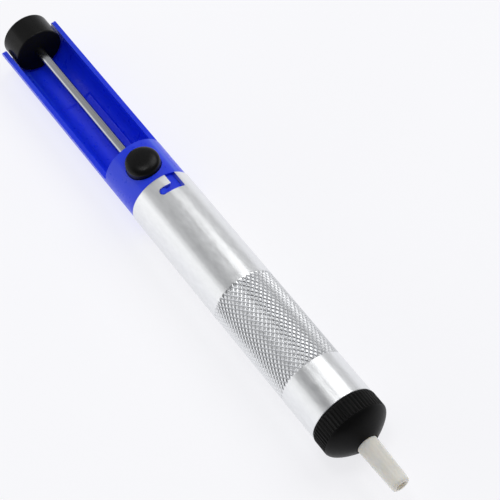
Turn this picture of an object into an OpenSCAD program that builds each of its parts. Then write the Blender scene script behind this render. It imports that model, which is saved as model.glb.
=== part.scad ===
// Desoldering pump: a spring piston in an aluminium barrel, pushed in by a knob on a
// steel rod and let go by a button. The pump lies along X with its nozzle towards +X and
// its button up. Lengths along the pump are measured from the rear edge of the barrel,
// and place() moves them so that the origin is under the middle of the pump.

/* [Barrel] */
// Outer diameter of the aluminium barrel
barrel_d = 20; // [18:0.1:24]
// Length of the barrel
barrel_len = 88; // [84:0.5:110]
// Wall thickness of the barrel
barrel_wall = 1.1; // [0.8:0.05:1.2]
// Distance from the rear edge to the start of the knurled band
knurl_start = 42; // [30:0.5:44]
// Length of the knurled band
knurl_len = 32; // [20:0.5:34]
// How far the mean knurled surface lies below the smooth barrel
knurl_sink = 0.2; // [0.05:0.01:0.25]

/* [Bayonet] */
// Diameter of the two lugs that lock the rear housing
lug_d = 2.1; // [1.6:0.05:2.4]
// Play between a lug and the walls of its slot, in all
lug_play = 0.2; // [0.1:0.05:0.4]
// Distance from the barrel's rear edge to the middle of the cross slot
lug_pos = 4.75; // [4.2:0.05:6]
// Direction of the upper lug at rest, from straight up towards +Y, in degrees
lug_angle = -3.5; // [-10:0.5:10]
// Turn from the locked place to the open end of the slot, in degrees
lug_turn = 29; // [24:0.5:36]
// Width of the open end of the slot, in degrees
entry_angle = 20; // [17:0.5:24]

/* [Rear housing] */
// Radius of the housing and of the finger guard behind it
housing_r = 9.75; // [9:0.05:9.95]
// Length of the solid part between the guard and the barrel
housing_len = 14.7; // [14:0.1:18]
// Length of the plug that goes into the barrel
plug_len = 13; // [10:0.5:14]
// Length of the open guard behind the housing
guard_len = 60.8; // [58:0.1:70]
// Wall thickness of the guard
guard_wall = 1.35; // [1.1:0.05:1.5]
// Height of the guard's rims above the axis
rim_height = 1.2; // [0:0.1:2.5]
// Rounding of the rims at the open end
rim_corner_r = 2; // [1:0.1:4]

/* [Release button] */
// Diameter of the button
button_d = 10.3; // [9:0.1:10.6]
// Distance from the barrel's rear edge back to the middle of the button
button_back = 7; // [6.5:0.1:7.4]
// How far the button goes in
button_travel = 1.5; // [1:0.1:1.6]
// Height of the button's crown above the axis
button_top = 12.3; // [11.8:0.1:12.6]

/* [Plunger] */
// Diameter of the plunger rod
rod_d = 3; // [2.8:0.1:3.4]
// Diameter of the knob
knob_d = 15.4; // [12:0.1:15.8]
// Length of the knob
knob_len = 8.4; // [6:0.1:10]
// Distance from the housing to the knob when the plunger is out
knob_gap = 54; // [52:0.1:56]
// Full travel of the plunger
stroke = 47; // [40:0.5:48]
// Travel at which the latch catches the rod
latch_stroke = 46; // [39:0.5:47]

/* [Piston] */
// Length of the piston
piston_len = 16; // [14:0.5:17]
// Radial play between the piston and the barrel
piston_play = 0.15; // [0.1:0.01:0.2]
// Thickness of the rubber rings' section
ring_section = 1.6; // [1.4:0.1:1.8]

/* [Nozzle] */
// Length of the ribbed ring of the nozzle holder
nose_ring_len = 5.6; // [5:0.1:8]
// Radius over the ribs
nose_ring_r = 10.15; // [10.05:0.05:12.5]
// Number of ribs
rib_count = 56; // [40:1:64]
// Length of the domed front of the holder
dome_len = 5; // [4:0.1:8]
// Length of the nozzle in front of the holder
tip_len = 14.9; // [10:0.1:20]
// Radius of the nozzle where it leaves the holder
tip_root_r = 3.12; // [2.9:0.01:3.3]
// Radius of the nozzle at its end
tip_end_r = 2.72; // [2.4:0.01:2.8]
// Radius of the hole through the nozzle
tip_bore_r = 1.5; // [1.2:0.05:1.6]

/* [Hidden] */

$fn = 96;
// small overshoot for clean cuts
cut = 1;
// play between surfaces that slide on each other
slide_play = 0.05;
// gap between faces that meet on different bodies
face_gap = 0.05;
// gaps between pieces that are fixed to each other: end to end, and around a bore
seat_gap = 0.02;
bore_gap = 0.01;

barrel_r = barrel_d / 2;
bore_r = barrel_r - barrel_wall;
slot_w = lug_d + lug_play;
entry_mid = lug_angle + lug_turn;

// places along the pump, from the barrel's rear edge
shoulder_x = -face_gap;
housing_rear = shoulder_x - housing_len;
guard_rear = housing_rear - guard_len;
knob_front = housing_rear - knob_gap;
knob_rear = knob_front - knob_len;
button_x = -button_back;
nose_face = barrel_len + face_gap;
dome_start = nose_face + nose_ring_len;
dome_end = dome_start + dome_len;
tip_end = dome_end + tip_len;

guard_inner_r = housing_r - guard_wall;
plug_r = bore_r - 0.08;
rod_r = rod_d / 2;

// the origin is under the middle of the whole pump, on the surface that it lies on
mid_x = (knob_rear + tip_end) / 2;
axis_height = nose_ring_r;

// closed end of the knob, behind the rod
knob_end_t = 1.5;
rod_rear = knob_rear + knob_end_t;

// release button and latch
button_r = button_d / 2;
button_bottom = 5.3;
button_well_r = button_r + 0.15;
button_well_floor = button_bottom - button_travel - 0.4;
latch_t = 1.5;
latch_half_w = 4;
latch_low = -4.5;
latch_slot_play = 0.2;
tongue_half_w = 3;
tongue_len = 2.3;
window_half_w = rod_r + 0.2;
window_low = -(rod_r + 0.1);
window_high = rod_r + button_travel + 0.2;
latch_slot_floor = latch_low - button_travel - 0.5;
button_spring_r = 1.6;
button_spring_wire = 0.3;
button_spring_low = -8.1;
button_spring_play = 0.4;
notch_depth = 0.7;

// piston group
plug_wall = 2.4;
bumper_len = 1.6;
bumper_in_r = plug_r - plug_wall + 0.1;
bumper_out_r = plug_r - 0.3;
piston_rear = plug_len + bumper_len + 0.2;
piston_r = bore_r - piston_play;
clip_t = 0.6;
clip_r = 3.5;
clip_rear = piston_rear + 0.15;
clip_play = 0.05;
clip_groove = 0.35;
washer_t = 0.6;
washer_r = 4.6;
web_rear = piston_rear + 1.6;
web_t = 4;
web_front = web_rear + web_t;
piston_front = piston_rear + piston_len;
cup_r = bore_r - 1.6;
ring_r = ring_section / 2;
ring_mid_r = bore_r - slide_play - ring_r;
groove_floor_r = ring_mid_r - ring_r - 0.05;
groove_w = ring_section + 0.6;
piston_ring_x = web_rear + web_t / 2 + 0.4;
nut_t = 2.4;
nut_across_flats = 5.5;
rod_front = web_front + nut_t + 1.8;
pin_d = 1.8;
pin_root = rod_front - 8;
pin_front = tip_end + 2 - stroke;
pin_point = 1.2;

// main spring
insert_rear = barrel_len - 9;
seat_washer_t = 0.8;
spring_wire = 1.1;
spring_mid_r = cup_r - 0.15 - spring_wire / 2;
spring_rear = web_front + 0.05;
spring_front = insert_rear - seat_washer_t - 0.05;
spring_turns = 9;

// nozzle
flange_rear = barrel_len - 1;
flange_t = 2;
flange_r = 4.2;
holder_ring_x = barrel_len - 4.7;

// moves everything from the barrel's axis to the pump's own frame
module place() {
    translate([-mid_x, 0, axis_height])
        children();
}

// a solid turned about the pump's axis, from points [x, radius]; its seam is to the side
module turned(points) {
    rotate([0, 90, 0])
        rotate([0, 0, 90])
            rotate_extrude()
                polygon([for (p = points) [p[1], p[0]]]);
}

// a plain cylinder along the axis
module along(x0, x1, r) {
    translate([x0, 0, 0])
        rotate([0, 90, 0])
            cylinder(h = x1 - x0, r = r);
}

// a flat ring along the axis
module washer(x0, x1, r_out, r_in) {
    difference() {
        along(x0, x1, r_out);
        along(x0 - cut, x1 + cut, r_in);
    }
}

// part of a ring between two directions, measured from straight up towards +Y
module arc_band(x0, x1, r0, r1, from, to) {
    rotate([0, 90, 0])
        rotate([0, 0, 180 - to])
            rotate_extrude(angle = to - from)
                translate([r0, x0])
                    square([r1 - r0, x1 - x0]);
}

// a radial pin at a direction measured from straight up towards +Y
module radial(x, r0, r1, direction, d) {
    rotate([-direction, 0, 0])
        translate([x, 0, r0])
            cylinder(h = r1 - r0, d = d, $fn = 48);
}

// a rubber ring around the axis
module o_ring(x) {
    rotate([0, 90, 0])
        rotate_extrude()
            translate([ring_mid_r, x])
                circle(r = ring_r, $fn = 32);
}

// a coil spring that stands on z = 0, as one swept tube with flat-lying end turns
module coil_spring(mid_r, wire_r, height, turns, steps, sides) {
    rings = turns * steps;
    end_share = 1 / turns;
    rise = height - 2 * wire_r;
    function climb(f) =
        f < end_share ? wire_r * f / end_share :
        f > 1 - end_share ? rise - wire_r * (1 - f) / end_share :
        wire_r + (rise - 2 * wire_r) * (f - end_share) / (1 - 2 * end_share);
    points = [
        for (i = [0:rings], j = [0:sides - 1])
            let (turn = 360 * i / steps, a = 360 * j / sides, r = mid_r + wire_r * cos(a))
                [r * cos(turn), r * sin(turn), wire_r + climb(i / rings) + wire_r * sin(a)]
    ];
    walls = [
        for (i = [0:rings - 1], j = [0:sides - 1])
            let (k = (j + 1) % sides)
                [i * sides + j, (i + 1) * sides + j, (i + 1) * sides + k, i * sides + k]
    ];
    caps = [
        [for (j = [0:sides - 1]) j],
        [for (j = [sides - 1:-1:0]) rings * sides + j]
    ];
    polyhedron(points = points, faces = concat(walls, caps), convexity = 10);
}

// the slot in the barrel that a lug enters, turned to a given direction; its open end is a
// little deeper than its leg, and the leg ends in a slightly wider eye for the lug
module bayonet_slot(direction) {
    eye_extra = 0.3;
    entry_extra = 0.12;
    r0 = bore_r - cut;
    r1 = barrel_r + cut;
    leg_rear = lug_pos - slot_w / 2;
    leg_front = lug_pos + slot_w / 2;
    arc_band(leg_rear, leg_front, r0, r1, direction + lug_angle, direction + entry_mid);
    arc_band(-cut, leg_front + entry_extra, r0, r1,
        direction + entry_mid - entry_angle / 2, direction + entry_mid + entry_angle / 2);
    radial(lug_pos, r0, r1, direction + lug_angle, slot_w + eye_extra);
}

module barrel() {
    edge = 0.25;
    knurl_end = knurl_start + knurl_len;
    band_r = barrel_r - knurl_sink;
    color([0.80, 0.81, 0.83])
        place()
            difference() {
                turned([
                    [0, bore_r], [0, barrel_r - edge], [edge, barrel_r],
                    [knurl_start, barrel_r], [knurl_start, band_r],
                    [knurl_end, band_r], [knurl_end, barrel_r],
                    [barrel_len - edge, barrel_r], [barrel_len, barrel_r - edge],
                    [barrel_len, bore_r]
                ]);
                for (side = [0, 180])
                    bayonet_slot(side);
            }
}

// the open half tube behind the housing, which guards the rod and the knob
module guard() {
    floor_from = 143;
    floor_to = 217;
    floor_sink = 0.4;
    floor_len = 35.5;
    floor_rear = housing_rear - floor_len;
    difference() {
        washer(guard_rear, housing_rear + 0.01, housing_r, guard_inner_r);
        translate([guard_rear - cut, -barrel_d, rim_height])
            cube([guard_len + cut, 2 * barrel_d, barrel_d]);
        // the rims are rounded where they end
        difference() {
            translate([guard_rear - cut, -barrel_d, rim_height - rim_corner_r])
                cube([rim_corner_r + cut, 2 * barrel_d, rim_corner_r + cut]);
            translate([guard_rear + rim_corner_r, 0, rim_height - rim_corner_r])
                rotate([90, 0, 0])
                    cylinder(r = rim_corner_r, h = 2 * barrel_d + 2 * cut, center = true, $fn = 48);
        }
        // the floor is a little lower near the housing
        arc_band(floor_rear, housing_rear + cut, guard_inner_r - cut, guard_inner_r + floor_sink,
            floor_from, floor_to);
    }
}

module rear_housing() {
    edge = 0.35;
    lead = 0.8;
    boss_r = rod_r + 1.6;
    core_rear = 3;
    lug_top = barrel_r - 0.15;
    slot_half_t = latch_t / 2 + latch_slot_play;
    color([0.16, 0.24, 0.80])
        place()
            difference() {
                union() {
                    turned([
                        [housing_rear, 0], [housing_rear, housing_r - edge],
                        [housing_rear + edge, housing_r], [shoulder_x, housing_r],
                        [shoulder_x, plug_r], [plug_len - lead, plug_r],
                        [plug_len, plug_r - lead / 2], [plug_len, 0]
                    ]);
                    guard();
                    for (side = [0, 180])
                        radial(lug_pos, plug_r - 2, lug_top, side + lug_angle, lug_d);
                }
                // the plug is hollow around the boss that guides the rod
                washer(core_rear, plug_len + cut, plug_r - plug_wall, boss_r);
                along(housing_rear - cut, plug_len + cut, rod_r + slide_play);
                // well of the button, slot of the latch plate and pocket of the spring
                translate([button_x, 0, button_well_floor])
                    cylinder(r = button_well_r, h = barrel_d);
                translate([button_x - slot_half_t, -latch_half_w - latch_slot_play, latch_slot_floor])
                    cube([2 * slot_half_t, 2 * (latch_half_w + latch_slot_play),
                        button_well_floor - latch_slot_floor + cut]);
                translate([button_x, 0, button_spring_low - face_gap])
                    cylinder(r = button_spring_r + button_spring_play,
                        h = latch_low - button_spring_low + button_spring_play);
            }
}

// soft ring on the end of the plug, which the piston springs back against
module bumper_ring() {
    color([0.08, 0.08, 0.09])
        place()
            washer(plug_len + seat_gap, plug_len + bumper_len, bumper_out_r, bumper_in_r);
}

module release_button() {
    edge_r = 0.9;
    crown = 0.7;
    shoulder_z = button_top - crown - edge_r;
    flat_r = button_r - edge_r;
    outline = concat(
        [[0, button_bottom], [button_r - 0.2, button_bottom], [button_r, button_bottom + 0.2]],
        [for (a = [0:15:75]) [flat_r + edge_r * cos(a), shoulder_z + edge_r * sin(a)]],
        [for (f = [0:0.2:1]) [flat_r * (1 - f), shoulder_z + edge_r + crown * (1 - pow(1 - f, 2))]]
    );
    color([0.05, 0.05, 0.05])
        place()
            translate([button_x, 0, 0])
                difference() {
                    rotate_extrude()
                        polygon(outline);
                    translate([-latch_t / 2 - seat_gap, -tongue_half_w - seat_gap, button_bottom - cut])
                        cube([latch_t + 2 * seat_gap, 2 * (tongue_half_w + seat_gap), tongue_len + cut]);
                }
}

// steel plate around the rod; its window catches the notch in the rod
module latch_plate() {
    body_top = button_bottom - seat_gap;
    tongue_top = button_bottom + tongue_len - 0.05;
    peg_half_w = 0.7;
    peg_len = 1.1;
    color([0.70, 0.71, 0.72])
        place()
            translate([button_x - latch_t / 2, 0, 0])
                difference() {
                    union() {
                        translate([0, -latch_half_w, latch_low])
                            cube([latch_t, 2 * latch_half_w, body_top - latch_low]);
                        translate([0, -tongue_half_w, latch_low])
                            cube([latch_t, 2 * tongue_half_w, tongue_top - latch_low]);
                        translate([0, -peg_half_w, latch_low - peg_len])
                            cube([latch_t, 2 * peg_half_w, peg_len + cut]);
                    }
                    translate([-cut, -window_half_w, window_low])
                        cube([latch_t + 2 * cut, 2 * window_half_w, window_high - window_low]);
                }
}

module button_spring() {
    height = latch_low - button_spring_low - 0.05;
    color([0.72, 0.73, 0.75])
        place()
            translate([button_x, 0, button_spring_low])
                coil_spring(mid_r = button_spring_r, wire_r = button_spring_wire / 2, height = height,
                    turns = 5, steps = 16, sides = 6);
}

module plunger_rod() {
    edge = 0.3;
    groove_rear = clip_rear - clip_play;
    groove_front = clip_rear + clip_t + clip_play;
    notch_mid = button_x - latch_stroke;
    notch_len = latch_t + 0.4;
    color([0.78, 0.78, 0.78])
        place()
            difference() {
                turned([
                    [rod_rear, 0], [rod_rear, rod_r - edge], [rod_rear + edge, rod_r],
                    [groove_rear, rod_r], [groove_rear, rod_r - clip_groove],
                    [groove_front, rod_r - clip_groove], [groove_front, rod_r],
                    [rod_front - edge, rod_r], [rod_front, rod_r - edge], [rod_front, 0]
                ]);
                along(pin_root, rod_front + cut, pin_d / 2 + bore_gap);
                translate([notch_mid - notch_len / 2, -rod_d, -rod_r - cut])
                    cube([notch_len, 2 * rod_d, notch_depth + cut]);
            }
}

module plunger_knob() {
    knob_r = knob_d / 2;
    edge_r = 0.6;
    outline = concat(
        [[knob_rear, 0]],
        [for (a = [90:-22.5:0])
            [knob_rear + edge_r - edge_r * sin(a), knob_r - edge_r + edge_r * cos(a)]],
        [[knob_front - edge_r / 2, knob_r], [knob_front, knob_r - edge_r / 2], [knob_front, 0]]
    );
    color([0.06, 0.06, 0.07])
        place()
            difference() {
                turned(outline);
                along(rod_rear - seat_gap, knob_front + cut, rod_r + bore_gap);
            }
}

// open clip in the rod's groove, behind the piston
module rod_clip() {
    mouth = 1.8;
    color([0.62, 0.63, 0.65])
        place()
            difference() {
                washer(clip_rear, clip_rear + clip_t, clip_r, rod_r - clip_groove + seat_gap);
                translate([piston_rear - cut, -mouth / 2, 0])
                    cube([4 * cut, mouth, 2 * clip_r]);
            }
}

module piston_washer() {
    front = web_rear - seat_gap;
    color([0.74, 0.75, 0.77])
        place()
            washer(front - washer_t, front, washer_r, rod_r + slide_play);
}

module piston() {
    recess_r = washer_r + 0.3;
    edge = 0.4;
    color([0.90, 0.90, 0.86])
        place()
            difference() {
                turned([
                    [piston_rear, recess_r], [piston_rear, piston_r - edge], [piston_rear + edge, piston_r],
                    [piston_ring_x - groove_w / 2, piston_r], [piston_ring_x - groove_w / 2, groove_floor_r],
                    [piston_ring_x + groove_w / 2, groove_floor_r], [piston_ring_x + groove_w / 2, piston_r],
                    [piston_front - edge, piston_r], [piston_front, piston_r - edge],
                    [piston_front, cup_r], [web_front, cup_r], [web_front, 0], [web_rear, 0],
                    [web_rear, recess_r]
                ]);
                along(web_rear - cut, web_front + cut, rod_r + slide_play);
            }
}

module piston_o_ring() {
    color([0.10, 0.10, 0.10])
        place()
            o_ring(piston_ring_x);
}

module piston_nut() {
    corner_r = nut_across_flats / 2 / cos(30);
    rear = web_front + seat_gap;
    color([0.78, 0.66, 0.34])
        place()
            difference() {
                translate([rear, 0, 0])
                    rotate([0, 90, 0])
                        cylinder(h = nut_t, r = corner_r, $fn = 6);
                along(rear - cut, rear + nut_t + cut, rod_r + bore_gap);
            }
}

// steel pin that pushes solder out of the nozzle at the end of the travel
module cleaning_pin() {
    pin_r = pin_d / 2;
    color([0.70, 0.70, 0.72])
        place()
            turned([
                [pin_root + 0.05, 0], [pin_root + 0.05, pin_r], [pin_front - pin_point, pin_r],
                [pin_front, pin_r * 0.4], [pin_front, 0]
            ]);
}

module main_spring() {
    color([0.72, 0.73, 0.75])
        place()
            translate([spring_rear, 0, 0])
                rotate([0, 90, 0])
                    coil_spring(mid_r = spring_mid_r, wire_r = spring_wire / 2,
                        height = spring_front - spring_rear, turns = spring_turns, steps = 20, sides = 6);
}

module spring_seat_washer() {
    front = insert_rear - seat_gap;
    play = 0.4;
    hole_r = 4.4;
    color([0.74, 0.75, 0.77])
        place()
            washer(front - seat_washer_t, front, bore_r - play, hole_r);
}

// outline of the ribs' cross-section, as a ring of teeth
function rib_outline(r_low, r_high) = [
    for (i = [0:rib_count - 1], k = [0:3])
        let (a = (i + [0, 0.2, 0.5, 0.7][k]) * 360 / rib_count, r = k == 1 || k == 2 ? r_high : r_low)
            [r * cos(a), r * sin(a)]
];

module nozzle_holder() {
    rib_depth = 0.35;
    rear_r = 0.8;
    dome_r = nose_ring_r - 0.1;
    front_r = tip_root_r + 0.25;
    insert_r = bore_r - slide_play;
    lead = 0.6;
    funnel_r = 6;
    seat_r = flange_r + 0.05;
    // the rear corner is rounded and the front falls in a long convex curve
    skin = concat(
        [[nose_face, 0]],
        [for (a = [90:-15:0])
            [nose_face + rear_r - rear_r * sin(a), nose_ring_r - rear_r + rear_r * cos(a)]],
        [[dome_start - 0.2, nose_ring_r], [dome_start, dome_r]],
        [for (f = [0.1:0.1:1])
            [dome_start + dome_len * f, dome_r - (dome_r - front_r) * pow(f, 1.45)]],
        [[dome_end, 0]]
    );
    color([0.07, 0.07, 0.08])
        place()
            difference() {
                union() {
                    intersection() {
                        turned(skin);
                        union() {
                            translate([nose_face - cut, 0, 0])
                                rotate([0, 90, 0])
                                    linear_extrude(height = nose_ring_len + cut - 0.2)
                                        polygon(rib_outline(nose_ring_r - rib_depth, nose_ring_r + 0.05));
                            along(dome_start - 0.4, dome_end + cut, nose_ring_r + cut);
                        }
                    }
                    turned([
                        [insert_rear, 0], [insert_rear, insert_r - lead / 2], [insert_rear + lead, insert_r],
                        [holder_ring_x - groove_w / 2, insert_r],
                        [holder_ring_x - groove_w / 2, groove_floor_r],
                        [holder_ring_x + groove_w / 2, groove_floor_r],
                        [holder_ring_x + groove_w / 2, insert_r],
                        [nose_face + 0.5, insert_r], [nose_face + 0.5, 0]
                    ]);
                }
                // funnel, seat of the nozzle's flange and hole for the nozzle
                turned([
                    [insert_rear - cut, 0], [insert_rear - cut, funnel_r], [insert_rear, funnel_r],
                    [flange_rear - 0.5, seat_r], [flange_rear + flange_t, seat_r],
                    [flange_rear + flange_t, 0]
                ]);
                along(flange_rear, dome_end + cut, tip_root_r + seat_gap);
            }
}

module nozzle_holder_o_ring() {
    color([0.10, 0.10, 0.10])
        place()
            o_ring(holder_ring_x);
}

module nozzle_tip() {
    neck = flange_rear + flange_t;
    round_r = 0.9;
    mouth_edge = 0.25;
    outline = concat(
        [
            [flange_rear, tip_bore_r + 1.2], [flange_rear, flange_r], [neck - seat_gap, flange_r],
            [neck - seat_gap, tip_root_r], [dome_end, tip_root_r]
        ],
        [for (a = [0:15:75])
            [tip_end - round_r + round_r * sin(a), tip_end_r - round_r + round_r * cos(a)]],
        [[tip_end, tip_bore_r + mouth_edge], [tip_end - mouth_edge, tip_bore_r], [neck, tip_bore_r]]
    );
    color([0.93, 0.92, 0.88])
        place()
            turned(outline);
}

barrel();
rear_housing();
bumper_ring();
release_button();
latch_plate();
button_spring();
plunger_rod();
plunger_knob();
rod_clip();
piston_washer();
piston();
piston_o_ring();
piston_nut();
cleaning_pin();
main_spring();
spring_seat_washer();
nozzle_holder();
nozzle_holder_o_ring();
nozzle_tip();
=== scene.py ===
import math

import bmesh
import bpy
from mathutils import Matrix, Vector


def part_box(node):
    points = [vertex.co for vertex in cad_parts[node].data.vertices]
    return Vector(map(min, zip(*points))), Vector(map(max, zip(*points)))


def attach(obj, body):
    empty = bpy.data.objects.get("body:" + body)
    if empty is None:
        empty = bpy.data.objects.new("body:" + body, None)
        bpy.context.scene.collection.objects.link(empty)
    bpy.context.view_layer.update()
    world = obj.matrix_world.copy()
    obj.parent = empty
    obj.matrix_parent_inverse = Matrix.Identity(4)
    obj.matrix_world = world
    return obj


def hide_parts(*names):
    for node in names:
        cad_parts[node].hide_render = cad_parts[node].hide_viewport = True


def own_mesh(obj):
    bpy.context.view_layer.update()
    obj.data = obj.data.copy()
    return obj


# A desoldering pump, drawn around its CAD frame. Every visible piece is built here in
# millimetres along the pump's own axis, with x counted from the rear edge of the barrel,
# and then set into the frame, in metres.

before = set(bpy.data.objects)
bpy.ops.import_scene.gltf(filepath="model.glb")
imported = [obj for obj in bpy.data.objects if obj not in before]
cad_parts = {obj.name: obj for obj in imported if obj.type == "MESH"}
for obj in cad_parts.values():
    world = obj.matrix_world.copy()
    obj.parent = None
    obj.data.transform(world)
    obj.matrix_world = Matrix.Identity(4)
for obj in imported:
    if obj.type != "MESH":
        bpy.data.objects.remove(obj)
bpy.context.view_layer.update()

MM = 0.001
barrel_low, barrel_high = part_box("barrel")
REAR_EDGE = barrel_low.x
AXIS_Z = (barrel_low.z + barrel_high.z) / 2
TO_FRAME = Matrix.Translation((REAR_EDGE, 0, AXIS_Z)) @ Matrix.Scale(MM, 4)


def span(node):
    """First and last x of a CAD node, and its half width, in millimetres from the rear edge."""
    low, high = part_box(node)
    return (low.x - REAR_EDGE) / MM, (high.x - REAR_EDGE) / MM, (high.y - low.y) / 2 / MM


def heights(node):
    """Lowest and highest point of a CAD node, in millimetres from the pump's axis."""
    low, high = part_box(node)
    return (low.z - AXIS_Z) / MM, (high.z - AXIS_Z) / MM


# ---------------------------------------------------------------- places, in millimetres

_, BARREL_LEN, BARREL_R = span("barrel")
BARREL_WALL = 1.1
BORE_R = BARREL_R - BARREL_WALL
GUARD_REAR, PLUG_END, HOUSING_R = span("rear_housing")
KNOB_REAR, KNOB_FRONT, KNOB_R = span("plunger_knob")
ROD_REAR, ROD_FRONT, ROD_R = span("plunger_rod")
TIP_BASE, TIP_END, TIP_FLANGE_R = span("nozzle_tip")
HOLDER_REAR, HOLDER_FRONT, HOLDER_R = span("nozzle_holder")
BUTTON_REAR, BUTTON_FRONT, BUTTON_R = span("release_button")
BUTTON_LOW, BUTTON_TOP = heights("release_button")
BUTTON_X = (BUTTON_REAR + BUTTON_FRONT) / 2
KNOB_TO_HOUSING = 54
HOUSING_REAR = KNOB_FRONT + KNOB_TO_HOUSING
LATCH_STROKE = 46
BUTTON_TRAVEL = 1.5
PLATE_T = 1.5
PLATE_SLOT_T = PLATE_T + 0.4

# ---------------------------------------------------------------- shapes


def unit(v):
    """The direction of a vector."""
    return v / v.length


def rounded(corners, steps=5):
    """A closed outline through corners (a, b, rounding), with an arc at each rounded corner."""
    outline = []
    count = len(corners)
    for i, (a, b, rounding) in enumerate(corners):
        here = Vector((a, b))
        if rounding <= 0:
            outline.append((a, b))
            continue
        back = unit(Vector(corners[i - 1][:2]) - here)
        on = unit(Vector(corners[(i + 1) % count][:2]) - here)
        half = math.acos(max(-1, min(1, back.dot(on)))) / 2
        centre = here + unit(back + on) * rounding / math.sin(half)
        start = here + back * rounding / math.tan(half) - centre
        end = here + on * rounding / math.tan(half) - centre
        turn = start.angle_signed(end)
        for k in range(steps + 1):
            arm = Matrix.Rotation(-turn * k / steps, 2) @ start
            outline.append(tuple(centre + arm))
    return outline


def lathe(outline, segments=160, radius=None):
    """Vertices and faces of a closed outline (x, r) turned about the pump's axis."""
    verts, faces, rings = [], [], []
    for x, r in outline:
        ring = []
        if r < 1e-6:
            ring = [len(verts)] * segments
            verts.append((x, 0, 0))
        else:
            for k in range(segments):
                a = 2 * math.pi * k / segments
                rr = radius(x, r, a) if radius else r
                ring.append(len(verts))
                verts.append((x, rr * math.sin(a), rr * math.cos(a)))
        rings.append(ring)
    for i, ring in enumerate(rings):
        after = rings[(i + 1) % len(rings)]
        for k in range(segments):
            n = (k + 1) % segments
            corner = [ring[k], ring[n], after[n], after[k]]
            face = [c for j, c in enumerate(corner) if c not in corner[:j]]
            if len(face) > 2:
                faces.append(face)
    return verts, faces


def loft(sections):
    """Vertices and faces of a solid through closed rings of 3-D points, all of the same count."""
    verts = [p for section in sections for p in section]
    count = len(sections[0])
    faces = [list(range(count)), list(range(len(verts) - count, len(verts)))]
    for i in range(len(sections) - 1):
        for k in range(count):
            n = (k + 1) % count
            faces.append([i * count + k, i * count + n, (i + 1) * count + n, (i + 1) * count + k])
    return verts, faces


def upright(shape, x):
    """The same shape with its axis turned straight up, at a place x along the pump."""
    verts, faces = shape
    return [(x - z, y, h) for h, y, z in verts], faces


def drum(x0, x1, r, segments=96):
    """A cylinder on the pump's axis."""
    return lathe([(x0, 0), (x0, r), (x1, r), (x1, 0)], segments)


def block(x0, x1, y0, y1, z0, z1):
    """A box between three pairs of places."""
    ring = [(y0, z0), (y1, z0), (y1, z1), (y0, z1)]
    return loft([[(x, y, z) for y, z in ring] for x in (x0, x1)])


def solid(name, shape):
    """A mesh object of a closed shape, still in the pump's own millimetres."""
    verts, faces = shape
    mesh = bpy.data.meshes.new(name)
    mesh.from_pydata([tuple(v) for v in verts], [], faces)
    bm = bmesh.new()
    bm.from_mesh(mesh)
    bmesh.ops.remove_doubles(bm, verts=bm.verts, dist=1e-5)
    bmesh.ops.recalc_face_normals(bm, faces=bm.faces)
    bm.to_mesh(mesh)
    bm.free()
    obj = bpy.data.objects.new(name, mesh)
    bpy.context.scene.collection.objects.link(obj)
    return obj


def apply_modifiers(obj):
    """Turns what the modifiers of obj make into its own mesh."""
    graph = bpy.context.evaluated_depsgraph_get()
    mesh = bpy.data.meshes.new_from_object(obj.evaluated_get(graph))
    obj.modifiers.clear()
    obj.data = mesh


def combine(obj, operation, *shapes):
    """Cuts shapes out of obj, or joins them to it, one after another."""
    for shape in shapes:
        tool = solid("tool", shape)
        change = obj.modifiers.new("change", "BOOLEAN")
        change.solver = "EXACT"
        change.operation = operation
        change.object = tool
        apply_modifiers(obj)
        bpy.data.objects.remove(tool)


SHARP = math.radians(32)


def soften_edges(obj, width, segments=3, chosen=None):
    """Rounds the sharp edges of obj, or those of them that chosen(middle) picks."""
    bm = bmesh.new()
    bm.from_mesh(obj.data)
    layer = bm.edges.layers.float.new("bevel_weight_edge")
    for edge in bm.edges:
        middle = (edge.verts[0].co + edge.verts[1].co) / 2
        sharp = len(edge.link_faces) == 2 and edge.calc_face_angle(0) > SHARP
        edge[layer] = 1.0 if sharp and (chosen is None or chosen(middle)) else 0.0
    bm.to_mesh(obj.data)
    bm.free()
    bevel = obj.modifiers.new("edge", "BEVEL")
    bevel.limit_method = "WEIGHT"
    bevel.width = width
    bevel.segments = segments
    bevel.use_clamp_overlap = True
    apply_modifiers(obj)


def place(obj, body, slot, *nodes):
    """Sets a finished piece into the frame, on a body, in a material, for the nodes it replaces."""
    bm = bmesh.new()
    bm.from_mesh(obj.data)
    bmesh.ops.dissolve_degenerate(bm, edges=bm.edges, dist=1e-4)
    bm.transform(TO_FRAME)
    bm.to_mesh(obj.data)
    bm.free()
    for polygon in obj.data.polygons:
        polygon.use_smooth = True
    obj.data.set_sharp_from_angle(angle=SHARP)
    even = obj.modifiers.new("even", "WEIGHTED_NORMAL")
    even.keep_sharp = True
    apply_modifiers(obj)
    obj.data.materials.clear()
    obj.data.materials.append(MATERIALS[slot])
    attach(obj, body)
    if nodes:
        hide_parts(*nodes)


# ---------------------------------------------------------------- materials


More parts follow.
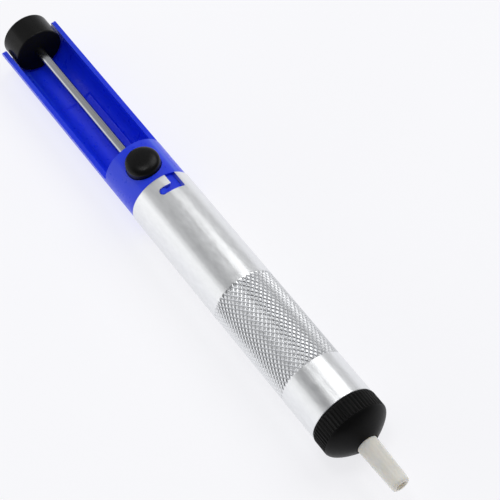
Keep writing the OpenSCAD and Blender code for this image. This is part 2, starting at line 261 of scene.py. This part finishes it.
class Shader:
    """A node material, with short ways to add what the finishes have in common."""

    def __init__(self, name, **sockets):
        self.material = bpy.data.materials.new(name)
        self.material.use_nodes = True
        self.tree = self.material.node_tree
        self.surface = self.tree.nodes["Principled BSDF"]
        for socket, value in sockets.items():
            self.surface.inputs[socket.replace("_", " ")].default_value = value
        coordinates = self.node("ShaderNodeTexCoord")
        self.place = coordinates.outputs["Object"]
        self.normal = coordinates.outputs["Normal"]
        self.height = None

    def node(self, kind, **values):
        node = self.tree.nodes.new(kind)
        for key, value in values.items():
            setattr(node, key, value)
        return node

    def link(self, output, target):
        self.tree.links.new(output, target)

    def stretched(self, scale):
        """Coordinates in cycles per millimetre along each direction."""
        mapping = self.node("ShaderNodeMapping")
        mapping.inputs["Scale"].default_value = [s / MM for s in scale]
        self.link(self.place, mapping.inputs["Vector"])
        return mapping.outputs["Vector"]

    def noise(self, scale, detail):
        """Noise of about so many cycles per millimetre along each direction."""
        noise = self.node("ShaderNodeTexNoise")
        noise.inputs["Scale"].default_value = 1.0
        noise.inputs["Detail"].default_value = detail
        self.link(self.stretched(scale), noise.inputs["Vector"])
        return noise.outputs["Fac"]

    def ramp(self, value, *stops):
        """A colour ramp through stops (position, colour)."""
        ramp = self.node("ShaderNodeValToRGB")
        elements = ramp.color_ramp.elements
        while len(elements) < len(stops):
            elements.new(0.5)
        for element, (position, colour) in zip(elements, stops):
            element.position = position
            element.color = (*colour, 1)
        self.link(value, ramp.inputs["Fac"])
        return ramp.outputs["Color"]

    def range(self, value, low, high, to_low, to_high):
        """A value spread from one range to another."""
        spread = self.node("ShaderNodeMapRange")
        for name, number in zip(("From Min", "From Max", "To Min", "To Max"),
                                (low, high, to_low, to_high)):
            spread.inputs[name].default_value = number
        self.link(value, spread.inputs["Value"])
        return spread.outputs["Result"]

    def mix(self, share, first, second):
        """A blend of two colours, each one fixed or the output of a node."""
        mix = self.node("ShaderNodeMix", data_type="RGBA")
        self.link(share, mix.inputs["Factor"])
        sockets = [socket for socket in mix.inputs if socket.type == "RGBA"]
        for socket, colour in zip(sockets, (first, second)):
            if isinstance(colour, tuple):
                socket.default_value = (*colour, 1)
            else:
                self.link(colour, socket)
        return [socket for socket in mix.outputs if socket.type == "RGBA"][0]

    def colour(self, output):
        self.link(output, self.surface.inputs["Base Color"])

    def roughness(self, output):
        self.link(output, self.surface.inputs["Roughness"])

    def bump(self, value, depth_mm):
        """Relief of a real depth, on top of any relief before it."""
        bump = self.node("ShaderNodeBump")
        bump.inputs["Strength"].default_value = 1.0
        bump.inputs["Distance"].default_value = depth_mm * MM
        self.link(value, bump.inputs["Height"])
        if self.height:
            self.link(self.height, bump.inputs["Normal"])
        self.height = bump.outputs["Normal"]
        self.link(self.height, self.surface.inputs["Normal"])

    def from_axis(self):
        """Distance from the pump's axis, in millimetres."""
        split = self.node("ShaderNodeSeparateXYZ")
        self.link(self.place, split.inputs["Vector"])
        lower = self.node("ShaderNodeMath", operation="SUBTRACT")
        self.link(split.outputs["Z"], lower.inputs[0])
        lower.inputs[1].default_value = AXIS_Z
        join = self.node("ShaderNodeCombineXYZ")
        self.link(split.outputs["Y"], join.inputs["X"])
        self.link(lower.outputs["Value"], join.inputs["Y"])
        length = self.node("ShaderNodeVectorMath", operation="LENGTH")
        self.link(join.outputs["Vector"], length.inputs[0])
        scale = self.node("ShaderNodeMath", operation="DIVIDE")
        self.link(length.outputs["Value"], scale.inputs[0])
        scale.inputs[1].default_value = MM
        return scale.outputs["Value"]

    def across(self):
        """1 on faces that look along the pump, 0 on its sides."""
        split = self.node("ShaderNodeSeparateXYZ")
        self.link(self.normal, split.inputs["Vector"])
        size = self.node("ShaderNodeMath", operation="ABSOLUTE")
        self.link(split.outputs["X"], size.inputs[0])
        return size.outputs["Value"]

    def most(self, first, second):
        """The larger of two values."""
        larger = self.node("ShaderNodeMath", operation="MAXIMUM")
        self.link(first, larger.inputs[0])
        self.link(second, larger.inputs[1])
        return larger.outputs["Value"]

    def painted_edge_highlight(self, low=0.52, high=0.62):
        """1 on convex edges, where a paler painted highlight goes, 0 elsewhere."""
        geometry = self.node("ShaderNodeNewGeometry")
        return self.range(geometry.outputs["Pointiness"], low, high, 0, 1)


KNURL_TOP = BARREL_R - 0.02
KNURL_LOW = BARREL_R - 0.24


def aluminium_barrel():
    """Drawn tube, satin, with a faint mottle, and painted shade in the bottom of the knurl."""
    s = Shader("aluminium_barrel", Metallic=1.0, Specular_IOR_Level=0.5)
    mottle = s.noise((0.35, 0.9, 0.9), 4)
    drawn = s.noise((0.03, 3.5, 3.5), 2)
    grain = s.noise((5, 9, 9), 2)
    tone = s.ramp(mottle, (0.3, (0.80, 0.81, 0.82)), (0.7, (0.86, 0.87, 0.88)))
    # Painted shade: the colour darkens to grey towards the bottom of the knurl's valleys.
    depth = s.range(s.from_axis(), KNURL_LOW, KNURL_TOP, 0, 1)
    tone = s.mix(depth, (0.66, 0.67, 0.69), tone)
    s.colour(tone)
    s.roughness(s.range(mottle, 0.3, 0.7, 0.31, 0.37))
    s.bump(drawn, 0.001)
    s.bump(grain, 0.0015)
    return s.material


def blue_plastic():
    """Glossy moulded plastic with a little light in it, and a paler painted highlight along its
    edges.
    """
    s = Shader("blue_plastic", Specular_IOR_Level=0.40, Subsurface_Weight=0.08)
    s.surface.inputs["Subsurface Radius"].default_value = (0.03, 0.05, 1.0)
    s.surface.inputs["Subsurface Scale"].default_value = 4.0 * MM
    cloud = s.noise((0.08, 0.15, 0.15), 3)
    tone = s.ramp(cloud, (0.3, (0.007, 0.036, 0.88)), (0.7, (0.010, 0.046, 0.94)))
    # Painted highlight: convex edges get a paler, greener blue.
    s.colour(s.mix(s.painted_edge_highlight(0.56, 0.68), tone, (0.03, 0.10, 0.92)))
    s.roughness(s.range(s.noise((0.5, 0.5, 0.5), 3), 0.3, 0.7, 0.26, 0.36))
    s.bump(s.noise((1.2, 1.2, 1.2), 2), 0.006)
    return s.material


def moulded_black(name, tone_low, tone_high, rough_low, rough_high, relief, shine):
    """Black plastic or rubber, matt on faces across the pump, where the mould is coarser."""
    s = Shader(name, Specular_IOR_Level=shine)
    cloud = s.noise((0.4, 0.4, 0.4), 3)
    tone = s.ramp(cloud, (0.3, (tone_low,) * 3), (0.7, (tone_high,) * 3))
    # Painted highlight: convex edges get a grey two and a half times lighter than the black.
    s.colour(s.mix(s.painted_edge_highlight(), tone, (tone_high * 2.5,) * 3))
    rough = s.range(s.noise((2, 2, 2), 3), 0.3, 0.7, rough_low, rough_high)
    s.roughness(s.most(rough, s.range(s.across(), 0.93, 0.99, 0, 0.9)))
    s.bump(s.noise((7, 7, 7), 2), relief)
    return s.material


def milky_plastic(name, dark, light, depth_mm, rough):
    """Translucent white plastic, a little warmer where it is thick."""
    s = Shader(name, Specular_IOR_Level=0.4, Subsurface_Weight=0.8, IOR=1.38)
    s.surface.inputs["Subsurface Radius"].default_value = (1.0, 0.9, 0.75)
    s.surface.inputs["Subsurface Scale"].default_value = depth_mm * MM
    s.colour(s.ramp(s.noise((0.12, 0.5, 0.5), 3), (0.3, dark), (0.7, light)))
    s.roughness(s.range(s.noise((0.6, 1.5, 1.5), 3), 0.3, 0.7, rough, rough + 0.12))
    s.bump(s.noise((0.6, 4, 4), 2), 0.004)
    return s.material


def metal(name, dark, light, grain, rough_low, rough_high, relief):
    """Metal with a grain of so many cycles per millimetre along each direction."""
    s = Shader(name, Metallic=1.0)
    streaks = s.noise(grain, 3)
    s.colour(s.ramp(streaks, (0.3, dark), (0.7, light)))
    s.roughness(s.range(streaks, 0.3, 0.7, rough_low, rough_high))
    s.bump(streaks, relief)
    return s.material


MATERIALS = {
    "aluminium_barrel": aluminium_barrel(),
    "blue_plastic": blue_plastic(),
    "black_gloss": moulded_black("black_gloss", 0.0025, 0.004, 0.26, 0.36, 0.004, 0.18),
    "black_satin": moulded_black("black_satin", 0.002, 0.004, 0.34, 0.46, 0.008, 0.12),
    "black_rubber": moulded_black("black_rubber", 0.006, 0.012, 0.55, 0.75, 0.015, 0.25),
    "milky_ptfe": milky_plastic(
        "milky_ptfe", (0.86, 0.82, 0.74), (0.92, 0.89, 0.83), 2.4, 0.20),
    "natural_plastic": milky_plastic(
        "natural_plastic", (0.78, 0.75, 0.66), (0.84, 0.82, 0.75), 0.8, 0.38),
    "polished_steel": metal(
        "polished_steel", (0.40, 0.41, 0.43), (0.48, 0.49, 0.51), (0.02, 3, 3), 0.14, 0.22, 0.001),
    "steel": metal(
        "steel", (0.48, 0.48, 0.50), (0.64, 0.64, 0.66), (2, 2, 2), 0.26, 0.42, 0.004),
    "spring_steel": metal(
        "spring_steel", (0.42, 0.42, 0.44), (0.58, 0.58, 0.60), (1, 4, 4), 0.22, 0.36, 0.004),
    "brass": metal(
        "brass", (0.62, 0.44, 0.16), (0.78, 0.60, 0.27), (4, 0.7, 0.7), 0.20, 0.34, 0.005),
}

# ---------------------------------------------------------------- barrel

LUG_X = 4.75
LUG_D = 2.1
LUG_ANGLE = -3.5
LUG_TURN = 29
ENTRY_HALF_ANGLE = 10
SLOT_W = LUG_D + 0.2
KNURL_START = 42
KNURL_END = 74
KNURL_ROUND = 44
KNURL_ROWS = 33
KNURL_FLAT = 0.45
KNURL_STEP = 360 / KNURL_ROUND
KNURL_ROW_LEN = (KNURL_END - KNURL_START) / KNURL_ROWS


def around(x, angle, r):
    """A point at a direction in degrees from straight up towards +Y."""
    a = math.radians(angle)
    return (x, r * math.sin(a), r * math.cos(a))


class Tube:
    """The barrel's mesh while it grows. A vertex is known by a key, so that faces can share it."""

    def __init__(self):
        self.verts = []
        self.faces = []
        self.index = {}

    def vert(self, key, x, angle, r):
        """The number of a vertex, which is made the first time its key is asked for."""
        if key not in self.index:
            self.index[key] = len(self.verts)
            self.verts.append(around(x, angle, r))
        return self.index[key]

    def valley(self, i, j):
        """The low point after diamond i of row j."""
        i %= KNURL_ROUND
        angle = (i + 0.5 + 0.5 * (j % 2)) * KNURL_STEP
        return self.vert(("v", i, j), KNURL_START + j * KNURL_ROW_LEN, angle, KNURL_LOW)

    def diamond(self, i, j):
        """One diamond with a flat top; in the first and the last row it is half a diamond."""
        x = KNURL_START + j * KNURL_ROW_LEN
        middle = (i + 0.5 * (j % 2)) * KNURL_STEP
        reach = KNURL_FLAT * KNURL_STEP / 2
        tall = KNURL_FLAT * KNURL_ROW_LEN
        beyond = i - 1 + j % 2
        left, right = self.valley(i - 1, j), self.valley(i, j)
        top_left = self.vert(("l", i, j), x, middle - reach, KNURL_TOP)
        top_right = self.vert(("r", i, j), x, middle + reach, KNURL_TOP)
        flat = [top_left]
        if j < KNURL_ROWS:
            front = self.valley(beyond, j + 1)
            top_front = self.vert(("f", i, j), x + tall, middle, KNURL_TOP)
            self.faces.append([left, front, top_front, top_left])
            self.faces.append([front, right, top_right, top_front])
            flat.append(top_front)
        flat.append(top_right)
        if j > 0:
            back = self.valley(beyond, j - 1)
            top_back = self.vert(("b", i, j), x - tall, middle, KNURL_TOP)
            self.faces.append([right, back, top_back, top_right])
            self.faces.append([back, left, top_left, top_back])
            flat.append(top_back)
        self.faces.append(flat)

    def edge_ring(self, j):
        """The vertices at one end of the knurl in order of direction, with their directions."""
        ring = []
        for i in range(KNURL_ROUND):
            middle = (i + 0.5 * (j % 2)) * KNURL_STEP
            ring.append((self.index[("l", i, j)], middle - KNURL_FLAT * KNURL_STEP / 2))
            ring.append((self.index[("r", i, j)], middle + KNURL_FLAT * KNURL_STEP / 2))
            ring.append((self.index[("v", i, j)], middle + KNURL_STEP / 2))
        return ring

    def plain(self, ring, profile):
        """Smooth rings on from the end of the knurl, each with the same directions."""
        directions = [angle for _, angle in ring]
        last = [v for v, _ in ring]
        for x, r in profile:
            new = [self.vert(("p", x, r, n), x, angle, r) for n, angle in enumerate(directions)]
            self.join(last, new)
            last = new
        return last, directions

    def join(self, first, second, shift=0):
        """Faces between two rings, the second of which may start so many places further on."""
        count = len(first)
        for n in range(count):
            m = (n + 1) % count
            self.faces.append([first[n], first[m],
                               second[(m + shift) % count], second[(n + shift) % count]])


def end_profiles():
    """Points (x, r) of the barrel's plain ends, from the knurl over the edge into the bore."""
    run_out = 0.2
    rear_step = 14
    front_step = 5
    bevel = 0.1
    edge = 0.3
    arc = [(edge * (1 - math.sin(a)), edge * (1 - math.cos(a)))
           for a in (math.radians(d) for d in (0, 22.5, 45, 67.5, 90))]
    rear = [(x, BARREL_R) for x in (KNURL_START - run_out, KNURL_START - rear_step, rear_step)]
    rear += [(x, BARREL_R - dip) for x, dip in arc]
    rear += [(0, BORE_R + bevel), (bevel, BORE_R)]
    front = [(KNURL_END + run_out, BARREL_R), (KNURL_END + front_step, BARREL_R)]
    front += [(BARREL_LEN - x, BARREL_R - dip) for x, dip in arc]
    front += [(BARREL_LEN, BORE_R + bevel), (BARREL_LEN - bevel, BORE_R)]
    return rear, front


def knurled_tube():
    """The whole barrel: plain ends and bore, with rolled diamonds between them."""
    tube = Tube()
    for j in range(KNURL_ROWS + 1):
        for i in range(KNURL_ROUND):
            tube.diamond(i, j)
    rear, front = end_profiles()
    rear_ring, rear_directions = tube.plain(tube.edge_ring(0), rear)
    front_ring, front_directions = tube.plain(tube.edge_ring(KNURL_ROWS), front)
    shift = min(range(len(front_ring)), key=lambda n: abs(front_directions[n] - rear_directions[0]))
    tube.join(rear_ring, front_ring, shift)
    return tube.verts, tube.faces


def bayonet_slot(direction):
    """The slot of one lug, as a solid to cut away; it ends in a round eye."""
    to_mm = math.radians(1) * BARREL_R
    middle = LUG_ANGLE + LUG_TURN
    entry_from = (middle - ENTRY_HALF_ANGLE) * to_mm
    entry_to = (middle + ENTRY_HALF_ANGLE) * to_mm
    eye_extra = 0.1
    eye_r = SLOT_W / 2 + eye_extra
    front = LUG_X + SLOT_W / 2
    back = LUG_X - SLOT_W / 2
    outline = rounded([
        (-1, entry_from, 0), (back, entry_from, 0.3), (back, LUG_ANGLE * to_mm, 0),
    ])[:-1]
    eye = LUG_ANGLE * to_mm
    outline += [(LUG_X - eye_r * math.cos(a), eye - eye_r * math.sin(a))
                for a in (math.radians(d) for d in range(0, 181, 20))]
    outline += rounded([(front, eye, 0), (front + eye_extra, entry_to, 0.4), (-1, entry_to, 0)])[1:]
    ring = [(x, direction + s / to_mm) for x, s in outline]
    inside = BORE_R - 1
    outside = BARREL_R + 2
    return loft([[around(x, angle, r) for x, angle in ring] for r in (inside, outside)])


def barrel():
    """The knurled tube with its two bayonet slots, whose edges are softened."""
    obj = solid("barrel_tube", knurled_tube())
    combine(obj, "DIFFERENCE", bayonet_slot(0), bayonet_slot(180))
    slot_end = LUG_X + SLOT_W

    near = 0.3

    def at_slot(middle):
        """Whether an edge lies on the barrel's skin beside a slot."""
        off_skin = abs(math.hypot(middle.y, middle.z) - BARREL_R)
        return 0.2 < middle.x < slot_end and off_skin < near

    soften_edges(obj, 0.10, 2, at_slot)
    place(obj, "barrel", "aluminium_barrel", "barrel")


# ---------------------------------------------------------------- rear housing and guard

GUARD_WALL = 1.35
RIM_HEIGHT = 1.2
RIM_CORNER_R = 2
FLOOR_LEN = 35.5
FLOOR_SINK = 0.4
FLOOR_HALF_ANGLE = 37
SHOULDER = -0.05
PLUG_R = BORE_R - 0.08
PLUG_WALL = 2.4
PLUG_CORE = 3
BOSS_WALL = 1.6
BORE_PLAY = 0.05


def trough(x, sink):
    """Section of the space in the guard: the tube's bore, and all that is above the rims."""
    inner = HOUSING_R - GUARD_WALL
    wide = BARREL_R * 1.3
    rim_angle = math.degrees(math.acos(RIM_HEIGHT / inner))
    ring = [(-wide, wide), (-wide, RIM_HEIGHT)]
    blend = 3
    steps = 72
    for k in range(steps + 1):
        angle = -rim_angle - k * (360 - 2 * rim_angle) / steps
        off_floor = abs(abs(angle) - 180) - FLOOR_HALF_ANGLE
        fade = max(0.0, min(1.0, 0.5 - off_floor / blend))
        r = inner + sink * fade
        a = math.radians(angle)
        ring.append((r * math.sin(a), r * math.cos(a)))
    ring += [(wide, RIM_HEIGHT), (wide, wide)]
    return [(x, y, z) for y, z in ring]


def rim_corner():
    """What is cut off the rims where they end, so that they end in a round corner."""
    x0 = GUARD_REAR
    low = RIM_HEIGHT - RIM_CORNER_R - 1
    high = RIM_HEIGHT + 2
    outline = [(x0 - 1, high), (x0 - 1, low), (x0, low)]
    for degrees in range(0, 91, 10):
        a = math.radians(degrees)
        outline.append((x0 + RIM_CORNER_R * (1 - math.cos(a)),
                        RIM_HEIGHT - RIM_CORNER_R * (1 - math.sin(a))))
    outline.append((x0 + RIM_CORNER_R, high))
    wide = BARREL_R * 1.4
    return loft([[(x, y, z) for x, z in outline] for y in (-wide, wide)])


def lug(direction):
    """The round peg of the plug that stands in a bayonet slot."""
    root = PLUG_R - 1.5
    top = BARREL_R - 0.15
    turn = Matrix.Rotation(-math.radians(direction + LUG_ANGLE), 3, "X")
    verts, faces = upright(drum(root, top, LUG_D / 2, 32), 0)
    return [tuple(turn @ Vector(v) + Vector((LUG_X, 0, 0))) for v in verts], faces


def guard_space():
    """The open space in the guard, with a shallow recess in its floor."""
    floor_rear = HOUSING_REAR - FLOOR_LEN
    ramp = 0.3
    return loft([trough(GUARD_REAR - 1, 0), trough(floor_rear - ramp, 0),
                 trough(floor_rear + ramp, FLOOR_SINK), trough(HOUSING_REAR, FLOOR_SINK)])


def plug_hollow():
    """The space in the plug, around the boss that guides the rod."""
    boss_r = ROD_R + BOSS_WALL
    hollow_r = PLUG_R - PLUG_WALL
    return lathe([
        (PLUG_CORE, boss_r), (PLUG_CORE, hollow_r),
        (PLUG_END + 1, hollow_r), (PLUG_END + 1, boss_r),
    ])


def button_spaces():
    """The button's well, and below it the latch plate's slot and the spring's pocket."""
    well_depth = BUTTON_TRAVEL + 0.4
    well_floor = BUTTON_LOW - well_depth
    well = upright(drum(well_floor, BARREL_R * 2, BUTTON_R + 0.15), BUTTON_X)
    peg_end, _ = heights("latch_plate")
    slot_floor = peg_end - 0.9
    half_t = PLATE_SLOT_T / 2
    half_w = 4.2
    plate_slot = block(BUTTON_X - half_t, BUTTON_X + half_t, -half_w, half_w,
                       slot_floor, well_floor + 1)
    spring_low, spring_top = heights("button_spring")
    pocket_r = 2.0
    pocket = upright(drum(spring_low - 0.05, spring_top + 0.3, pocket_r, 48), BUTTON_X)
    return well, plate_slot, pocket


def rear_housing():
    """One moulding: the plug and its lugs, the button's housing, and the guard round the rod."""
    outline = rounded([
        (GUARD_REAR, 0, 0), (GUARD_REAR, HOUSING_R, 0), (SHOULDER, HOUSING_R, 0),
        (SHOULDER, PLUG_R, 0), (PLUG_END, PLUG_R, 0.5), (PLUG_END, 0, 0),
    ])
    rod_bore = drum(HOUSING_REAR - 1, PLUG_END + 2, ROD_R + BORE_PLAY)
    well, plate_slot, pocket = button_spaces()
    obj = solid("housing_and_guard", lathe(outline, 180))
    combine(obj, "DIFFERENCE", guard_space(), rim_corner(), plug_hollow(), rod_bore, well)
    soften_edges(obj, 0.28)
    combine(obj, "DIFFERENCE", plate_slot, pocket)
    combine(obj, "UNION", lug(0), lug(180))
    place(obj, "housing", "blue_plastic", "rear_housing")


# ---------------------------------------------------------------- button, knob and rod


def release_button():
    """A soft-edged dome that stands in the housing's well."""
    bevel = 0.25
    side_top = BUTTON_TOP - 1.9
    fullness = 0.62
    outline = [(BUTTON_LOW, 0), (BUTTON_LOW, BUTTON_R - bevel), (BUTTON_LOW + bevel, BUTTON_R)]
    outline.append((side_top, BUTTON_R))
    steps = 14
    for k in range(1, steps + 1):
        a = math.radians(90 * k / steps)
        r = BUTTON_R * math.cos(a) ** fullness
        outline.append((side_top + (BUTTON_TOP - side_top) * math.sin(a), r if k < steps else 0))
    obj = solid("button_cap", upright(lathe(outline, 128), BUTTON_X))
    tongue_top = BUTTON_LOW + 2.3
    half_t = PLATE_T / 2 + 0.02
    half_w = 3.02
    combine(obj, "DIFFERENCE", block(BUTTON_X - half_t, BUTTON_X + half_t, -half_w, half_w,
                                     BUTTON_LOW - 1, tongue_top))
    place(obj, "button", "black_gloss", "release_button")


def plunger_knob():
    """A plain round knob with a blind bore for the rod."""
    bore_r = ROD_R + 0.01
    bore_end = ROD_REAR - 0.02
    outline = rounded([
        (KNOB_REAR, 0, 0), (KNOB_REAR, KNOB_R, 0.5), (KNOB_FRONT, KNOB_R, 0.35),
        (KNOB_FRONT, bore_r, 0), (bore_end, bore_r, 0), (bore_end, 0, 0),
    ])
    place(solid("knob", lathe(outline, 160)), "plunger", "black_gloss", "plunger_knob")


def plunger_rod():
    """The rod, with the clip's groove, the pin's hole and the notch for the latch plate."""
    play = 0.05
    clip_rear, clip_front, _ = span("rod_clip")
    groove_rear = clip_rear - play
    groove_front = clip_front + play
    groove_r = ROD_R - 0.35
    pin_rear, _, pin_r = span("cleaning_pin")
    hole_end = pin_rear - play
    hole_r = pin_r + 0.01
    edge = 0.3
    outline = rounded([
        (ROD_REAR, 0, 0), (ROD_REAR, ROD_R, edge),
        (groove_rear, ROD_R, 0), (groove_rear, groove_r, 0),
        (groove_front, groove_r, 0), (groove_front, ROD_R, 0),
        (ROD_FRONT, ROD_R, edge), (ROD_FRONT, hole_r, 0),
        (hole_end, hole_r, 0), (hole_end, 0, 0),
    ])
    obj = solid("rod", lathe(outline, 64))
    notch_x = BUTTON_X - LATCH_STROKE
    notch_depth = 0.7
    half_t = PLATE_SLOT_T / 2
    combine(obj, "DIFFERENCE", block(notch_x - half_t, notch_x + half_t, -ROD_R * 2, ROD_R * 2,
                                     -ROD_R - 1, -ROD_R + notch_depth))
    place(obj, "plunger", "polished_steel", "plunger_rod")


# ---------------------------------------------------------------- nozzle

RIBS = 56
RING_LEN = 5.6
FLANGE_LEN = 2
NOSE_FACE = BARREL_LEN + 0.05


def nozzle_holder():
    """Ribbed ring and domed nose, with the plug that holds them in the barrel."""
    ring_end = NOSE_FACE + RING_LEN
    dome_r = HOLDER_R - 0.1
    dome_power = 1.45
    groove_r = HOLDER_R - 0.38
    rib_slope = 1.6
    tip_hole = 3.14
    mouth_r = 3.37
    insert_r = BORE_R - BORE_PLAY
    ring_x = BARREL_LEN - 4.7
    groove = 1.1
    ring_floor = 7.2
    flange_x = BARREL_LEN - 1
    seat_r = TIP_FLANGE_R + 0.05

    def ribs(x, r, a):
        """The radius in a direction: rib and groove by turns along the ring, else round."""
        if not NOSE_FACE < x < ring_end - 0.01 or r < groove_r:
            return r
        phase = a * RIBS / (2 * math.pi) % 1
        crest = min(1, max(0, rib_slope * (0.5 - abs(2 * phase - 1)) + 0.5))
        return min(r, groove_r + (HOLDER_R - groove_r) * crest)

    outline = rounded([
        (NOSE_FACE, insert_r, 0), (NOSE_FACE, HOLDER_R, 0.8), (ring_end - 0.15, HOLDER_R, 0.12),
        (ring_end, dome_r, 0),
    ])
    steps = 16
    length = HOLDER_FRONT - ring_end
    for k in range(1, steps + 1):
        f = k / steps
        outline.append((ring_end + length * f, dome_r - (dome_r - mouth_r) * f ** dome_power))
    outline += [
        (HOLDER_FRONT, tip_hole), (flange_x + FLANGE_LEN, tip_hole),
        (flange_x + FLANGE_LEN, seat_r), (flange_x - 0.5, seat_r),
        (HOLDER_REAR, 6.0), (HOLDER_REAR, insert_r - 0.3),
        (HOLDER_REAR + 0.6, insert_r), (ring_x - groove, insert_r), (ring_x - groove, ring_floor),
        (ring_x + groove, ring_floor), (ring_x + groove, insert_r),
    ]
    obj = solid("nozzle_nut", lathe(outline, RIBS * 8, ribs))
    place(obj, "nose", "black_satin", "nozzle_holder")


def nozzle_tip():
    """The soft tube that tapers to the mouth, with the flange that holds it."""
    neck = TIP_BASE + FLANGE_LEN - 0.02
    root_r, end_r, bore_r = 3.12, 2.72, 1.5
    outline = rounded([
        (TIP_BASE, bore_r + 1.2, 0), (TIP_BASE, TIP_FLANGE_R, 0.2), (neck, TIP_FLANGE_R, 0.2),
        (neck, root_r, 0), (HOLDER_FRONT, root_r, 0), (TIP_END, end_r, 0.8), (TIP_END, bore_r, 0.3),
        (neck, bore_r, 0),
    ], 7)
    place(solid("tip", lathe(outline, 96)), "nose", "milky_ptfe", "nozzle_tip")


# ---------------------------------------------------------------- springs


def coil(rise, mid_r, wire_r, turns, sides=12, steps=36):
    """A wire wound about the pump's axis, with its end turns closed, from x = 0 to rise."""
    verts, faces = [], []
    rings = turns * steps
    end_share = 1 / turns
    climb = rise - 2 * wire_r
    for i in range(rings + 1):
        f = i / rings
        if f < end_share:
            lift = wire_r * f / end_share
        elif f > 1 - end_share:
            lift = climb - wire_r * (1 - f) / end_share
        else:
            lift = wire_r + (climb - 2 * wire_r) * (f - end_share) / (1 - 2 * end_share)
        turn = 2 * math.pi * i / steps
        for j in range(sides):
            a = 2 * math.pi * j / sides
            x = wire_r + lift + wire_r * math.sin(a)
            r = mid_r + wire_r * math.cos(a)
            verts.append((x, r * math.sin(turn), r * math.cos(turn)))
    for i in range(rings):
        for j in range(sides):
            k = (j + 1) % sides
            faces.append([i * sides + j, i * sides + k, (i + 1) * sides + k, (i + 1) * sides + j])
    faces.append(list(range(sides)))
    faces.append(list(range(rings * sides, (rings + 1) * sides)))
    return verts, faces


def springs():
    """Both springs, wound as coils of wire in place of the CAD's."""
    rear, front, out_r = span("main_spring")
    wire_r = 0.55
    verts, faces = coil(front - rear, out_r - wire_r, wire_r, turns=9)
    spring = solid("main_coil", ([(x + rear, y, z) for x, y, z in verts], faces))
    place(spring, "barrel", "spring_steel", "main_spring")
    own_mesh(spring)
    low, high = heights("button_spring")
    wire = coil(high - low, mid_r=1.6, wire_r=0.15, turns=5, sides=8, steps=24)
    verts, faces = upright(wire, BUTTON_X)
    small = solid("button_coil", ([(x, y, z + low) for x, y, z in verts], faces))
    place(small, "housing", "spring_steel", "button_spring")
    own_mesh(small)


# ---------------------------------------------------------------- nodes that stay as they are

KEPT_NODES = {
    "bumper_ring": "black_rubber",
    "latch_plate": "steel",
    "rod_clip": "spring_steel",
    "piston_washer": "steel",
    "piston": "natural_plastic",
    "piston_o_ring": "black_rubber",
    "piston_nut": "brass",
    "cleaning_pin": "steel",
    "spring_seat_washer": "steel",
    "nozzle_holder_o_ring": "black_rubber",
}


def kept_nodes():
    """Gives the CAD's own meshes of the small pieces inside their materials."""
    for node, slot in KEPT_NODES.items():
        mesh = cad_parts[node].data
        mesh.materials.clear()
        mesh.materials.append(MATERIALS[slot])


# ---------------------------------------------------------------- floor, light and camera


def pale_floor():
    """A white table, lit a little from below as for small products."""
    bpy.ops.mesh.primitive_plane_add(size=6)
    floor = bpy.context.object
    floor.name = "floor"
    s = Shader("floor_paint", Roughness=0.55, Specular_IOR_Level=0.2, Emission_Strength=0.78)
    s.surface.inputs["Emission Color"].default_value = (0.97, 0.97, 1.0, 1)
    cloud = s.noise((0.004, 0.004, 0.004), 2)
    s.colour(s.ramp(cloud, (0.4, (0.24, 0.24, 0.242)), (0.6, (0.26, 0.26, 0.262))))
    floor.data.materials.append(s.material)


def towards(azimuth, elevation):
    """The direction at an azimuth and an elevation, in radians."""
    level = math.cos(elevation)
    return Vector((level * math.cos(azimuth), level * math.sin(azimuth), math.sin(elevation)))


def soft_light(name, azimuth, elevation, wide, tall, radiance):
    """A softbox seen from the pump at a direction, so many degrees wide and tall, so bright."""
    distance = 1.1
    light = bpy.data.lights.new(name, "AREA")
    light.shape = "RECTANGLE"
    light.size = 2 * distance * math.tan(math.radians(wide / 2))
    light.size_y = 2 * distance * math.tan(math.radians(tall / 2))
    light.energy = radiance * math.pi * light.size * light.size_y
    obj = bpy.data.objects.new(name, light)
    bpy.context.scene.collection.objects.link(obj)
    az, el = math.radians(azimuth), math.radians(elevation)
    obj.location = towards(az, el) * distance
    obj.rotation_euler = (-obj.location).to_track_quat("-Z", "Y").to_euler()


def studio():
    """A dim white room with soft boxes at both sides, behind the knob and overhead."""
    world = bpy.data.worlds.new("studio")
    bpy.context.scene.world = world
    world.use_nodes = True
    back = world.node_tree.nodes["Background"]
    back.inputs["Color"].default_value = (0.97, 0.98, 1.0, 1)
    back.inputs["Strength"].default_value = 0.18
    soft_light("box_left", -112, 16, 80, 32, 0.9)
    soft_light("box_right", 100, 52, 36, 32, 2.9)
    soft_light("box_low_right", 110, 14, 90, 24, 0.4)
    soft_light("box_top", 180, 84, 15, 15, 6.0)
    soft_light("box_rear", 190, 38, 90, 40, 0.4)
    bpy.context.scene.view_settings.view_transform = "Standard"


CAMERA_AIM = (0.01251, 0.00993, 0.01015)
CAMERA_AZIMUTH = -24.52
CAMERA_ELEVATION = 59.01
CAMERA_DISTANCE = 0.48865
CAMERA_ROLL = -12.39
CAMERA_LENS = 124.37


def camera():
    """The camera that sees the pump as the photo does."""
    data = bpy.data.cameras.new("camera")
    data.lens = CAMERA_LENS
    data.sensor_width = 36
    obj = bpy.data.objects.new("camera", data)
    bpy.context.scene.collection.objects.link(obj)
    back = towards(math.radians(CAMERA_AZIMUTH), math.radians(CAMERA_ELEVATION))
    right = Vector((0, 0, 1)).cross(back).normalized()
    up = back.cross(right)
    roll = Matrix.Rotation(math.radians(CAMERA_ROLL), 3, "Z")
    turned = Matrix((right, up, back)).transposed() @ roll
    stand = Vector(CAMERA_AIM) + back * CAMERA_DISTANCE
    obj.matrix_world = Matrix.Translation(stand) @ turned.to_4x4()
    bpy.context.scene.camera = obj


barrel()
rear_housing()
release_button()
plunger_knob()
plunger_rod()
nozzle_holder()
nozzle_tip()
springs()
kept_nodes()
pale_floor()
studio()
camera()
